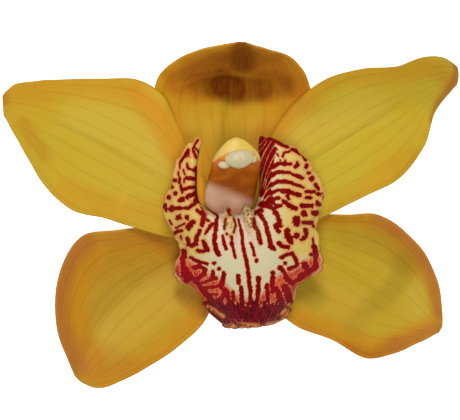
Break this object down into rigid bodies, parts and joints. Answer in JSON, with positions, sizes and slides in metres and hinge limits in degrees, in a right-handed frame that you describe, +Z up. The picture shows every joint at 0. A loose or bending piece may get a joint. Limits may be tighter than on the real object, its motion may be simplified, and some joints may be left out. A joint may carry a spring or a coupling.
{
  "type": "cymbidium orchid bloom",
  "caption": "Picked cymbidium orchid bloom lying face up, with broad sepals and petals, a spotted three-lobed lip, a column with its anther cap and a bent ovary.",
  "frame": {"origin": "on the surface that the bloom lies on, under the middle of its outline", "axes": "+Z up out of the bloom's face, +Y towards the dorsal sepal, +X towards the petal on the right as the face is seen"},
  "size_m": [0.1145, 0.0791, 0.0404],
  "materials": {
    "sepal": "satin",
    "petal": "satin",
    "lip": "satin",
    "column": "satin",
    "anther_cap": "gloss",
    "ovary": "satin"
  },
  "bodies": {
    "root": {"ovary": "ovary", "dorsal_sepal": "sepal", "sepal_left": "sepal", "sepal_right": "sepal", "petal_left": "petal", "petal_right": "petal", "lip": "lip", "column": "column", "anther_cap": "anther_cap"}
  },
  "joints": []
}
